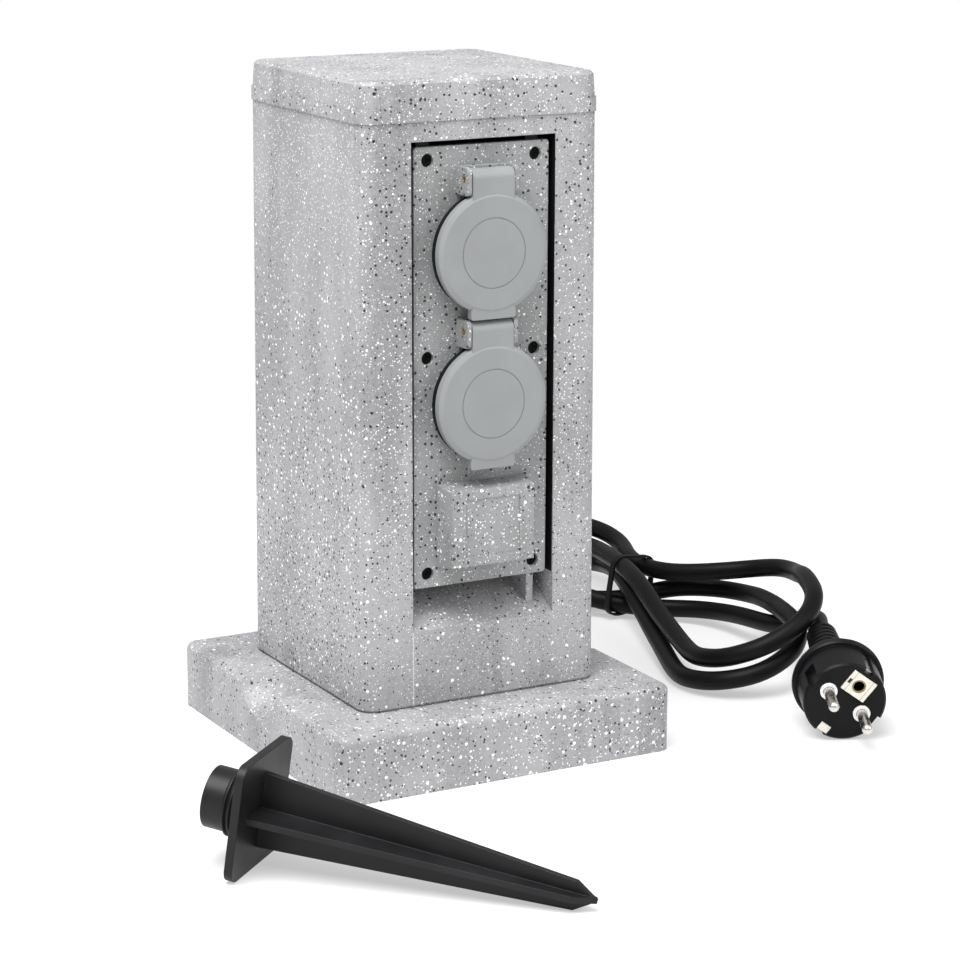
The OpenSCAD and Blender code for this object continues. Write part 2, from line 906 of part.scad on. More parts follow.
module housing_screws() {
    head_r = 2.8;
    head_h = 2;
    tip_y = panel_rear - panel_t / 2 + 0.2;
    color([0.55, 0.55, 0.56])
        at_housing_screws()
            rotate([-90, 0, 0]) {
                translate([0, 0, tip_y])
                    cylinder(h = housing_rear - tip_y, r = housing_screw_r);
                translate([0, 0, housing_rear])
                    cylinder(h = head_h, r = head_r);
            }
}

module socket_insert(axis_z) {
    color([0.1, 0.1, 0.1])
        translate([0, 0, axis_z - lid_drop])
            difference() {
                union() {
                    rotate([90, 0, 0])
                        translate([0, 0, -well_floor - floor_t])
                            cylinder(h = well_depth + floor_t, r = insert_r);
                    for (side = [-1, 1])
                        translate([-insert_ear.x / 2, panel_rear, side * insert_r - insert_ear.y])
                            cube([insert_ear.x, floor_t, 2 * insert_ear.y]);
                    translate([-block_hx, well_floor + floor_t - 1, -block_hz])
                        cube([2 * block_hx, block_rear - well_floor - floor_t + 1, 2 * block_hz]);
                }
                rotate([90, 0, 0])
                    translate([0, 0, -well_floor])
                        cylinder(h = well_depth + 1, r = well_r);
                for (x = [-1, 1])
                    translate([x * pin_pitch / 2, 0, 0])
                        rotate([-90, 0, 0]) {
                            translate([0, 0, well_floor - 1])
                                cylinder(h = floor_t + 2, r = pin_hole_r);
                            translate([0, 0, well_floor + floor_t])
                                cylinder(h = block_rear - well_floor, r = sleeve_r + clip_slot);
                        }
                for (side = [-1, 1])
                    translate([0, well_floor, side * (well_r - clip_t / 2 - clip_slot)])
                        cube([clip_w + 2 * clip_slot, 3 * floor_t, clip_t + 2 * clip_slot], center = true);
            }
}

module socket_contacts(axis_z) {
    color([0.78, 0.6, 0.3])
        for (x = [-1, 1])
            translate([x * pin_pitch / 2, well_floor + floor_t, axis_z - lid_drop])
                rotate([-90, 0, 0])
                    difference() {
                        cylinder(h = sleeve_rear - well_floor - floor_t, r = sleeve_r);
                        translate([0, 0, -1])
                            cylinder(h = sleeve_rear - well_floor - floor_t - 1, r = sleeve_bore_r);
                    }
}

module earth_clip(axis_z) {
    leg_z = well_r - clip_t / 2 - clip_slot;
    color([0.8, 0.72, 0.5])
        translate([-clip_w / 2, 0, axis_z - lid_drop]) {
            for (side = [-1, 1])
                translate([0, clip_front, side * leg_z - clip_t / 2])
                    cube([clip_w, clip_rear - clip_front, clip_t]);
            translate([0, clip_rear - clip_t, -leg_z])
                cube([clip_w, clip_t, 2 * leg_z]);
        }
}

module lid(axis_z) {
    color([0.63, 0.64, 0.64])
        difference() {
            union() {
                face_out(axis_z)
                    translate([0, 0, -lid_rear])
                        rotate_extrude()
                            polygon([
                                [0, 0],
                                [lid_r, 0],
                                [lid_r, lid_t - lid_bevel_h],
                                [lid_r - lid_bevel, lid_t],
                                [lid_ring_r + lid_ring_w, lid_t],
                                [lid_ring_r + lid_ring_w, lid_t - lid_ring_d],
                                [lid_ring_r, lid_t - lid_ring_d],
                                [lid_ring_r, lid_t],
                                [0, lid_t]
                            ]);
                translate([0, axis_y, axis_z])
                    rotate([0, 90, 0])
                        cylinder(h = 2 * barrel_hw, r = barrel_r, center = true);
                translate([-barrel_hw, axis_y - barrel_r, axis_z - lid_drop + lid_r - 3])
                    cube([2 * barrel_hw, axis_y - lid_rear + barrel_r - 2 * (axis_y - lid_rear), lid_drop - lid_r + 3]);
                tab(axis_z);
            }
            translate([0, axis_y, axis_z])
                rotate([0, 90, 0]) {
                    cylinder(h = 4 * barrel_hw, r = hinge_pin_r + pin_play, center = true);
                    cylinder(h = 2 * (spring_hw + fit_gap), r = spring_pocket_r, center = true);
                }
            translate([-spring_hw - fit_gap, axis_y, axis_z - barrel_r - 1])
                cube([2 * (spring_hw + fit_gap), barrel_r + 1, 2 * barrel_r + 2]);
        }
}

// The finger tab under a lid
module tab(axis_z) {
    low = axis_z - lid_drop - lid_r - tab_down;
    r = 1.2;
    translate([0, lid_rear - 0.3, low + (tab_down + tab_up) / 2])
        rotate([90, 0, 0])
            linear_extrude(lid_t - 0.7)
                round_square(2 * tab_hw, tab_down + tab_up, r);
}

module lid_seal(axis_z) {
    color([0.04, 0.04, 0.04])
        face_out(axis_z)
            translate([0, 0, -lid_rear])
                rotate_extrude()
                    polygon([
                        [seal_flange_r, 0],
                        [seal_r, 0],
                        [seal_r, -seal_lip],
                        [seal_in_r, -seal_lip],
                        [seal_in_r, lid_rear - collar_front + fit_gap],
                        [seal_flange_r, lid_rear - collar_front + fit_gap]
                    ]);
}

module hinge_pin(axis_z) {
    dimple = 1.5;
    color([0.75, 0.58, 0.28])
        translate([0, axis_y, axis_z])
            rotate([0, 90, 0])
                difference() {
                    cylinder(h = 2 * ear_x1, r = hinge_pin_r, center = true);
                    for (side = [-1, 1])
                        translate([0, 0, side * ear_x1])
                            cylinder(h = 2 * dimple, r = hinge_pin_r / 2, center = true);
                }
}

module lid_spring(axis_z) {
    color([0.6, 0.6, 0.62])
        translate([0, axis_y, axis_z]) {
            rotate([0, 90, 0])
                difference() {
                    cylinder(h = 2 * spring_hw, r = spring_r, center = true);
                    cylinder(h = 3 * spring_hw, r = hinge_pin_r + press_play + sleeve_play, center = true);
                }
            translate([-spring_hw, 0, -spring_r])
                cube([spring_leg, panel_y - axis_y, spring_leg]);
        }
}

// A wire at one side of the housing: a riser, a stub to each terminal and a slant to the gland
module wire(x, stub_y, tone) {
    color(tone)
        translate([x, 0, 0]) {
            for (axis_z = axis_zs)
                translate([0, stub_y, axis_z - lid_drop])
                    rotate([-90, 0, 0])
                        cylinder(h = wire_y - stub_y, r = wire_r);
            translate([0, wire_y, wire_low_z])
                cylinder(h = axis_zs[0] - lid_drop - wire_low_z, r = wire_r);
            translate([0, wire_y, axis_zs[0] - lid_drop])
                sphere(wire_knee_r);
            slant(x);
        }
}

// The stretch of a wire from its riser to the gland
module slant(x) {
    from = [0, wire_y, wire_low_z];
    to = [x * wire_fan - x, gland_y, gland_top_z + wire_tail];
    run = to - from;
    translate(from) {
        sphere(wire_knee_r);
        rotate([0, acos(run.z / norm(run)), atan2(run.y, run.x)])
            cylinder(h = norm(run), r = wire_r);
    }
    translate(to)
        sphere(wire_knee_r);
    translate([to.x, to.y, gland_top_z])
        cylinder(h = wire_tail, r = wire_r);
}

module live_wire() {
    wire(-pin_pitch / 2, sleeve_rear, [0.35, 0.2, 0.1]);
}

module neutral_wire() {
    wire(pin_pitch / 2, sleeve_rear, [0.15, 0.3, 0.6]);
}

module earth_wire() {
    wire(0, clip_rear, [0.5, 0.6, 0.1]);
}

module cable_gland() {
    color([0.15, 0.15, 0.16])
        translate([0, gland_y, 0])
            difference() {
                union() {
                    translate([0, 0, gland_low_z])
                        cylinder(h = gland_top_z - gland_low_z, r = gland_r);
                    translate([0, 0, housing_z0 + housing_wall])
                        cylinder(h = gland_top_z - housing_z0 - housing_wall, r = gland_nut_r, $fn = 6);
                    translate([0, 0, gland_low_z])
                        cylinder(h = housing_z0 - gland_low_z, r1 = gland_r + 1, r2 = gland_nut_r);
                }
                translate([0, 0, gland_low_z - 1])
                    cylinder(h = gland_top_z - gland_low_z - 2, r = cord_r + sleeve_play);
            }
}

module inner_cable() {
    bend_z = exit_z + sleeve_bend_r;
    color([0.05, 0.05, 0.05]) {
        translate([0, gland_y, bend_z])
            cylinder(h = cable_end - bend_z, r = cord_r);
        translate([0, gland_y + sleeve_bend_r, bend_z])
            rotate([0, 90, 0])
                rotate([0, 0, -90])
                    rotate_extrude(angle = 90)
                        translate([sleeve_bend_r, 0])
                            circle(cord_r);
        translate([0, gland_y + sleeve_bend_r, exit_z])
            rotate([-90, 0, 0])
                cylinder(h = sleeve_end_y - gland_y - sleeve_bend_r, r = cord_r);
    }
}

module cord_sleeve() {
    inner_y = exit_y - pillar_wall - fit_gap;
    outer_y = exit_y + fit_gap;
    taper_l = sleeve_end_y - outer_y - sleeve_flange_t;
    color([0.05, 0.05, 0.05])
        translate([0, 0, exit_z])
            rotate([-90, 0, 0])
                difference() {
                    union() {
                        translate([0, 0, inner_y - sleeve_flange_t])
                            cylinder(h = sleeve_flange_t, r = sleeve_flange_r);
                        translate([0, 0, inner_y - 1])
                            cylinder(h = outer_y - inner_y + 2, r = sleeve_neck_r);
                        translate([0, 0, outer_y])
                            cylinder(h = sleeve_flange_t, r = sleeve_flange_r - 1);
                        translate([0, 0, outer_y + sleeve_flange_t])
                            cylinder(h = taper_l, r1 = sleeve_neck_r, r2 = sleeve_tip_r);
                        for (i = [1 : sleeve_ribs])
                            translate([0, 0, outer_y + sleeve_flange_t + taper_l * i / (sleeve_ribs + 1)])
                                cylinder(
                                    h = sleeve_rib_w,
                                    r = sleeve_neck_r + 0.9 - (sleeve_neck_r - sleeve_tip_r) * i / (sleeve_ribs + 1));
                    }
                    translate([0, 0, inner_y - sleeve_flange_t - 1])
                        cylinder(h = sleeve_end_y - inner_y + sleeve_flange_t + 2, r = cord_r + sleeve_play);
                }
}

// A tube along a stretch of the cord, from one of its rings to another
module cord_tube(first, last, n) {
    rings = last - first;
    points = [for (i = [first : last]) each cord_ring(i, n)];
    sides = [
        for (i = [0 : rings - 1])
            for (j = [0 : n - 1])
                let (
                    a = i * n + j,
                    b = i * n + (j + 1) % n)
                each [[a, a + n, b], [b, a + n, b + n]]
    ];
    start_cap = [for (j = [1 : n - 2]) [0, j, j + 1]];
    end_cap = [for (j = [1 : n - 2]) [rings * n, rings * n + j + 1, rings * n + j]];
    color([0.05, 0.05, 0.05])
        polyhedron(points, concat(sides, start_cap, end_cap));
}

module cord_outlet_run() {
    cord_tube(0, hank_first, tube_sides_run);
}

module cord_hank() {
    cord_tube(hank_first, hank_last, tube_sides_hank);
}

module cord_plug_run() {
    cord_tube(hank_last, cord_last, tube_sides_run);
}

// Outline of the bundle of strands in the tie's plane, with room round it
module bundle_outline(room) {
    hull()
        for (strand = tie_strands)
            for (way = [-1, 1])
                translate([strand[0] + way * strand[2] * tie_w / 2, strand[1]])
                    scale([norm([1, strand[2]]), 1])
                        circle(cord_r + room, $fn = 32);
}

module cord_tie() {
    color([0.06, 0.06, 0.06])
        translate([tie_at.x, tie_at.y, 0])
            rotate([0, 0, tie_turn - 90])
                rotate([90, 0, 0])
                    linear_extrude(tie_w, center = true)
                        difference() {
                            bundle_outline(tie_room + tie_t);
                            bundle_outline(tie_room);
                        }
}

// Lay a plug piece where the plug lies, its own +Z along the pins
module place_plug() {
    translate(plug_face)
        rotate([0, 0, plug_yaw])
            rotate([90 + plug_tilt, 0, 0])
                rotate([0, 0, plug_roll])
                    children();
}

module plug_body() {
    rear = plug_barrel_l + plug_flange_t;
    edge = 1;
    color([0.05, 0.05, 0.05])
        place_plug()
            difference() {
                rotate_extrude()
                    polygon([
                        [0, -rear - plug_cone_l],
                        [plug_cone_r1, -rear - plug_cone_l],
                        [plug_cone_r0, -rear - plug_cone_l / 3],
                        [plug_cone_r0 + 1, -rear],
                        [plug_flange_r - edge, -rear],
                        [plug_flange_r, -rear + edge],
                        [plug_flange_r, -plug_barrel_l - edge],
                        [plug_flange_r - edge, -plug_barrel_l],
                        [plug_r + 0.3, -plug_barrel_l],
                        [plug_r, -edge],
                        [plug_r - edge, 0],
                        [0, 0]
                    ]);
                for (turn = [0, 180])
                    rotate([0, 0, turn])
                        translate([plug_r - notch_d, -notch_w / 2, -notch_l])
                            cube([notch_d + 2, notch_w, notch_l + 1]);
                for (turn = [90, 270])
                    rotate([0, 0, turn])
                        translate([plug_r - notch_d, -strip_w / 2 - 0.3, -plug_barrel_l])
                            cube([notch_d + 2, strip_w + 0.6, plug_barrel_l + 1]);
                for (x = [-1, 1])
                    translate([x * pin_pitch / 2, 0, -pin_root])
                        cylinder(h = pin_root + 1, r = plug_pin_r + sleeve_play);
                translate([0, earth_y, -earth_depth])
                    cylinder(h = earth_depth + 1, r = earth_hole_r);
            }
}

module plug_sleeve() {
    color([0.05, 0.05, 0.05])
        place_plug()
            translate([0, 0, -boot_end]) {
                cylinder(h = boot_l, r1 = boot_r1, r2 = boot_r0);
                for (i = [1 : boot_ribs])
                    translate([0, 0, boot_l * i / (boot_ribs + 1) - boot_rib_w / 2])
                        cylinder(h = boot_rib_w, r = boot_r1 + (boot_r0 - boot_r1) * i / (boot_ribs + 1) + 0.7);
            }
}

module plug_pins() {
    color([0.75, 0.75, 0.74])
        place_plug()
            for (x = [-1, 1])
                translate([x * pin_pitch / 2, 0, -pin_root]) {
                    cylinder(h = pin_root + plug_pin_l - plug_pin_r, r = plug_pin_r);
                    translate([0, 0, pin_root + plug_pin_l - plug_pin_r])
                        sphere(plug_pin_r);
                }
}

module plug_pin_collars() {
    color([0.85, 0.85, 0.85])
        place_plug()
            for (x = [-1, 1])
                translate([x * pin_pitch / 2, 0, 0])
                    difference() {
                        cylinder(h = pin_collar_h, r = pin_collar_r);
                        translate([0, 0, -1])
                            cylinder(h = pin_collar_h + 2, r = plug_pin_r + sleeve_play);
                    }
}

module plug_earth() {
    color([0.85, 0.82, 0.72])
        place_plug()
            linear_extrude(earth_h) {
                translate([0, earth_y])
                    difference() {
                        square([2 * earth_hw, 2 * earth_hz], center = true);
                        circle(earth_hole_r);
                    }
                translate([0, earth_pad_y])
                    square(earth_pad, center = true);
            }
}

module plug_earth_strips() {
    color([0.75, 0.75, 0.74])
        place_plug()
            for (turn = [90, 270])
                rotate([0, 0, turn])
                    translate([plug_r - notch_d, -strip_w / 2, -plug_barrel_l])
                        cube([strip_t, strip_w, plug_barrel_l - strip_back]);
}

// A spike fin's outline, tip along +X
module fin_outline() {
    straight = spike_l - spike_point;
    polygon([
        [0, -spike_w0 / 2],
        [straight, -spike_w1 / 2],
        [spike_l, 0],
        [straight, spike_w1 / 2],
        [0, spike_w0 / 2]
    ]);
}

module ground_spike() {
    step = spike_thread_l / spike_turns;
    crest = 1.2;
    color([0.08, 0.08, 0.08])
        translate([spike_foot.x, spike_foot.y, spike_flange_w / 2 * cos(spike_tilt)])
            rotate([0, 0, spike_yaw])
                rotate([0, spike_tilt, 0]) {
                    for (turn = [0, 90])
                        rotate([turn, 0, 0])
                            linear_extrude(fin_t, center = true)
                                fin_outline();
                    rotate([0, -90, 0]) {
                        linear_extrude(spike_flange_t)
                            round_square(spike_flange_w, spike_flange_w, spike_corner_r);
                        translate([0, 0, spike_flange_t]) {
                            cylinder(h = spike_thread_l + spike_pilot_l, r = spike_pilot_r);
                            for (i = [0 : spike_turns - 1])
                                translate([0, 0, i * step])
                                    rotate_extrude()
                                        polygon([
                                            [0, 0],
                                            [spike_thread_r - crest, 0],
                                            [spike_thread_r, step / 2 - 0.3],
                                            [spike_thread_r, step / 2 + 0.3],
                                            [spike_thread_r - crest, step],
                                            [0, step]
                                        ]);
                        }
                    }
                }
}

base_plate();
base_screws();
pillar_shell();
top_cap();
socket_panel();
panel_screws();
panel_seal();
rear_housing();
housing_screws();
socket_insert(axis_zs[0]);  // upper_socket
socket_insert(axis_zs[1]);  // lower_socket
socket_contacts(axis_zs[0]);  // upper_contacts
socket_contacts(axis_zs[1]);  // lower_contacts
earth_clip(axis_zs[0]);  // upper_earth_clip
earth_clip(axis_zs[1]);  // lower_earth_clip
lid(axis_zs[0]);  // upper_lid
lid(axis_zs[1]);  // lower_lid
lid_seal(axis_zs[0]);  // upper_lid_seal
lid_seal(axis_zs[1]);  // lower_lid_seal
hinge_pin(axis_zs[0]);  // upper_hinge_pin
hinge_pin(axis_zs[1]);  // lower_hinge_pin
lid_spring(axis_zs[0]);  // upper_lid_spring
lid_spring(axis_zs[1]);  // lower_lid_spring
live_wire();
neutral_wire();
earth_wire();
cable_gland();
inner_cable();
cord_sleeve();
cord_outlet_run();
cord_hank();
cord_plug_run();
cord_tie();
plug_body();
plug_sleeve();
plug_pins();
plug_pin_collars();
plug_earth();
plug_earth_strips();
ground_spike();
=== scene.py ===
"""Dresses the garden socket post: camera, mains lead, finishes and a plain studio floor."""

import math

import bpy
from bpy.props import (
    FloatProperty,
    FloatVectorProperty,
    IntProperty,
    PointerProperty,
)
from mathutils import Matrix, Vector


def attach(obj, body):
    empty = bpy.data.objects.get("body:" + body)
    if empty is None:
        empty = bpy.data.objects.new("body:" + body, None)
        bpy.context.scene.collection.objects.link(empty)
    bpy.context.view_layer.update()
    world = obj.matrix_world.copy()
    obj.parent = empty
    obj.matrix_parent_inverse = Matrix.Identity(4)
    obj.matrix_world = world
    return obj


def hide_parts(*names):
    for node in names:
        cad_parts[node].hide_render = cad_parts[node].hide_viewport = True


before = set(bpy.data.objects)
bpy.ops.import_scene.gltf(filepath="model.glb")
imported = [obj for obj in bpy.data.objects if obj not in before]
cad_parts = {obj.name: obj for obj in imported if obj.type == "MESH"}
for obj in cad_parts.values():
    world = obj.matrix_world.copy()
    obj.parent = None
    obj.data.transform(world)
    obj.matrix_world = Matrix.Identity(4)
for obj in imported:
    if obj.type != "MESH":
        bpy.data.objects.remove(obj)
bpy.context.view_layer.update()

bl_info = {
    "name": "Garden socket post",
    "version": (1, 0, 0),
    "blender": (4, 2, 0),
    "location": "View3D > Sidebar > Socket post",
    "description": "Lays the lead and gives the socket post its finishes",
    "category": "Object",
}

MM = 0.001

# Cord route in millimetres, the same numbers as the part's source.
# Each list has one entry for each turn of the hank, the upper turn first.
CORD_EXIT = (0.0, 93.2, 46.0)
CORD_D = 9.0
HANK_TURNS = 2
FOLD_RIGHT, FOLD_NEAR, FOLD_BACK = (
    ((193.0, 40.0), (186.0, 60.0)),
    ((172.0, -12.0), (164.5, -11.0)),
    ((157.0, 183.0), (165.0, 174.0)),
)
FOLD_RIGHT_R, FOLD_NEAR_R, FOLD_BACK_R = (33.0, 33.0), (29.0, 29.0), (33.0, 31.0)
FOLD_RIGHT_A = ((41.0, -25.0), (35.0, -23.0))
FOLD_NEAR_A = ((-32.0, -194.0), (-19.0, -192.0))
FOLD_BACK_A = ((-5.0, 211.0), (-8.0, 201.0))
RIGHT_RINGS, NEAR_RINGS, BACK_RINGS = 5, 9, 9
# Lift above a strand on the floor, from a fold's or side's start to its end, and where along it.
LIFT_RIGHT = ((26.5, 30.5, 32.5), (12.5, 13.0, 15.5))
LIFT_SIDE = ((38.5,), (20.5,))
LIFT_NEAR = ((37.5, 30.0, 20.5, 13.0, 9.5), (21.5, 15.0, 7.5, 3.0, 0.7))
LIFT_CROSS = ((14.0, 22.5, 22.0), (4.0, 10.0, 13.5))
LIFT_BACK = ((15.5, 11.0, 3.0, 0.5), (6.0, 1.5, 4.0, 11.5))
LIFT_UNDER = (1.0, 2.0, 11.0)
RIGHT_AT, SIDE_AT, NEAR_AT = (0.0, 0.5, 1.0), (0.5,), (0.0, 0.25, 0.5, 0.75, 1.0)
CROSS_AT, BACK_AT, UNDER_AT = (0.25, 0.5, 0.75), (0.0, 0.3, 0.7, 1.0), (0.3, 0.55, 0.8)
OUTLET_ROUTE = (
    (0, 105.2, 46), (6, 124, 45.5), (24, 148, 44), (61, 168, 40.5), (93, 180, 38),
    (127, 196, 34), (163, 201, 32), (186, 190.5, 30.5), (197, 171.5, 28.5), (197.5, 152, 26),
    (189.5, 130, 24.5), (186.5, 110.5, 24.5), (191.5, 91, 25.5), (205, 73, 28.5),
)
PLUG_ROUTE = (
    (147, 138, 14), (162.5, 114, 8.5), (184, 97, 6.2), (199.5, 81, 7.5), (206, 62, 9.5),
    (206, 43, 12), (206.5, 24, 13.5), (208.5, 6, 17.5), (207.5, -12.5, 25.5), (198.5, -29, 29.5),
)
PLUG_FACE = Vector((156.8, -109.5, 18.7))
PLUG_YAW, PLUG_TILT, PLUG_ROLL = -26.5, 7.2, -36.0
BOOT_END = 76.0
# The plug's earth insert in millimetres: its hole's place above the centre of the plug's face, then the
# brass ring round the hole, the frame lines on both sides of it and the notch on one side.
EARTH_Y = 9.8
RING_R = 3.2
FRAME_AT, FRAME_HALF = 4.4, 0.22
NOTCH_AT, NOTCH_HALF_W, NOTCH_HALF_H = 5.2, 0.7, 1.2

# Mould line on the pillar's front, in metres: its X, half its width, and the Y and Z that it stays below.
LINE_X, LINE_HALF, LINE_Y, LINE_Z = -0.0344, 0.0003, -0.055, 0.0643
# Painted shade on the recess walls beside the panel, in metres: half their distance, front, rear, foot and
# top.
GAP_SHADE_HALF, GAP_SHADE_FRONT, GAP_SHADE_REAR, GAP_SHADE_LOW, GAP_SHADE_HIGH = 0.0345, -0.0571, -0.028, 0.0825, 0.2751

# Camera solved from the photograph: its place in millimetres, and its right and up directions.
CAMERA_AT = Vector((-601.2, -1153.5, 432.7))
CAMERA_RIGHT = Vector((0.87773, -0.47914, 0.00337))
CAMERA_UP = Vector((0.11066, 0.20955, 0.97152))

# Stage in metres.
FLOOR_HALF = 9.0
KEY_AT, KEY_SIZE = (-0.6, -0.42, 1.7), 1.3
FILL_AT, FILL_SIZE = (0.9, -1.1, 0.9), 1.0
LAMP_AIM = Vector((0.02, 0.0, 0.12))


def cos(a):
    return math.cos(math.radians(a))


def sin(a):
    return math.sin(math.radians(a))


PLUG_DIR = Vector(
    (sin(PLUG_YAW) * cos(PLUG_TILT), -cos(PLUG_YAW) * cos(PLUG_TILT), -sin(PLUG_TILT))
)


def between(a, b, u):
    """A number or vector part of the way from a to b."""
    return a + (b - a) * u


def lifted(lifts, at, u):
    """Height a share of the way along, from the lifts at given shares."""
    for i in range(len(at) - 1):
        if u <= at[i + 1]:
            return CORD_D / 2 + between(lifts[i], lifts[i + 1], (u - at[i]) / (at[i + 1] - at[i]))
    return CORD_D / 2 + lifts[-1]


def fold(centre, r, angles, rings, lifts, at):
    """Points round part of a circle."""
    points = []
    for i in range(rings):
        u = i / (rings - 1)
        a = between(*angles, u)
        points.append(Vector((centre[0] + r * cos(a), centre[1] + r * sin(a), lifted(lifts, at, u))))
    return points


def side(start, end, lifts, at):
    """Points between the end of one fold and the start of the next."""
    points = []
    for u, lift in zip(at, lifts):
        p = between(start[-1], end[0], u)
        points.append(Vector((p.x, p.y, CORD_D / 2 + lift)))
    return points


def right_fold(k):
    return fold(FOLD_RIGHT[k], FOLD_RIGHT_R[k], FOLD_RIGHT_A[k], RIGHT_RINGS, LIFT_RIGHT[k], RIGHT_AT)


def hank_turn(k):
    """One turn of the hank: right fold, near fold, over the crossing, back fold, under it."""
    right = right_fold(k)
    near = fold(FOLD_NEAR[k], FOLD_NEAR_R[k], FOLD_NEAR_A[k], NEAR_RINGS, LIFT_NEAR[k], NEAR_AT)
    back = fold(FOLD_BACK[k], FOLD_BACK_R[k], FOLD_BACK_A[k], BACK_RINGS, LIFT_BACK[k], BACK_AT)
    points = right + side(right, near, LIFT_SIDE[k], SIDE_AT)
    points += near + side(near, back, LIFT_CROSS[k], CROSS_AT) + back
    if k < HANK_TURNS - 1:
        points += side(back, right_fold(k + 1), LIFT_UNDER, UNDER_AT)
    return points


def cord_route():
    """The cord's points from the sleeve to the plug's boot, in millimetres."""
    points = [Vector(CORD_EXIT)] + [Vector(p) for p in OUTLET_ROUTE]
    for k in range(HANK_TURNS):
        points += hank_turn(k)
    points += [Vector(p) for p in PLUG_ROUTE]
    points += [PLUG_FACE - PLUG_DIR * (BOOT_END + CORD_D), PLUG_FACE - PLUG_DIR * BOOT_END]
    return points


def smooth_route(points, step):
    """A centripetal spline through the points, sampled about every step."""
    ends = [points[0] * 2 - points[1]] + points + [points[-1] * 2 - points[-2]]
    route = []
    for i in range(1, len(ends) - 2):
        p = ends[i - 1 : i + 3]
        t = [0.0]
        for a, b in zip(p, p[1:]):
            t.append(t[-1] + math.sqrt((b - a).length))
        count = max(2, round((p[2] - p[1]).length / step))
        for j in range(count):
            x = between(t[1], t[2], j / count)
            a = [between(p[n], p[n + 1], (x - t[n]) / (t[n + 1] - t[n])) for n in range(3)]
            b = [between(a[n], a[n + 1], (x - t[n]) / (t[n + 2] - t[n])) for n in range(2)]
            route.append(between(b[0], b[1], (x - t[1]) / (t[2] - t[1])))
    route.append(points[-1])
    return route


def relaxed(route, rounds):
    """The route with its small kinks evened out, its ends as they were."""
    for _ in range(rounds):
        inner = [
            (route[i - 1] + route[i] * 2 + route[i + 1]) / 4 for i in range(2, len(route) - 2)
        ]
        route = route[:2] + inner + route[-2:]
    return route


def tube_mesh(name, route, radius, sides):
    """A closed round tube along a route, with its length in metres along the map's V."""
    mesh = bpy.data.meshes.new(name)
    rings = len(route)
    verts, faces, uvs = [], [], []
    across = Vector((1.0, 0.0, 0.0))
    along = [0.0]
    for i, p in enumerate(route):
        ahead = route[min(i + 1, rings - 1)] - route[max(i - 1, 0)]
        ahead.normalize()
        across = (across - ahead * across.dot(ahead)).normalized()
        up = ahead.cross(across)
        for j in range(sides):
            a = 2 * math.pi * j / sides
            verts.append(p + (across * math.cos(a) + up * math.sin(a)) * radius)
        if i:
            along.append(along[-1] + (p - route[i - 1]).length)
    for i in range(rings - 1):
        for j in range(sides):
            k = (j + 1) % sides
            faces.append((i * sides + j, i * sides + k, (i + 1) * sides + k, (i + 1) * sides + j))
            u0, u1 = j / sides, (j + 1) / sides
            uvs += [(u0, along[i]), (u1, along[i]), (u1, along[i + 1]), (u0, along[i + 1])]
    for first, order in ((0, -1), ((rings - 1) * sides, 1)):
        faces.append(tuple(range(first, first + sides))[::order])
        uvs += [(0.5, 0.0)] * sides
    mesh.from_pydata(verts, [], faces)
    layer = mesh.uv_layers.new(name="along")
    for loop, uv in zip(layer.data, uvs):
        loop.uv = uv
    for polygon in mesh.polygons:
        polygon.use_smooth = len(polygon.vertices) == 4
    mesh.update()
    return mesh


class Wire:
    """A node socket that takes part in Python arithmetic."""

    def __init__(self, sheet, socket):
        self.sheet = sheet
        self.socket = socket

    def _math(self, operation, a, b):
        return self.sheet.add("ShaderNodeMath", {"operation": operation}, {0: a, 1: b})

    def __add__(self, other):
        return self._math("ADD", self, other)

    __radd__ = __add__

    def __sub__(self, other):
        return self._math("SUBTRACT", self, other)

    def __mul__(self, other):
        return self._math("MULTIPLY", self, other)

    __rmul__ = __mul__

    def __lt__(self, other):
        return self._math("LESS_THAN", self, other)

    def __gt__(self, other):
        return self._math("GREATER_THAN", self, other)

    def __abs__(self):
        return self._math("ABSOLUTE", self, 0.0)


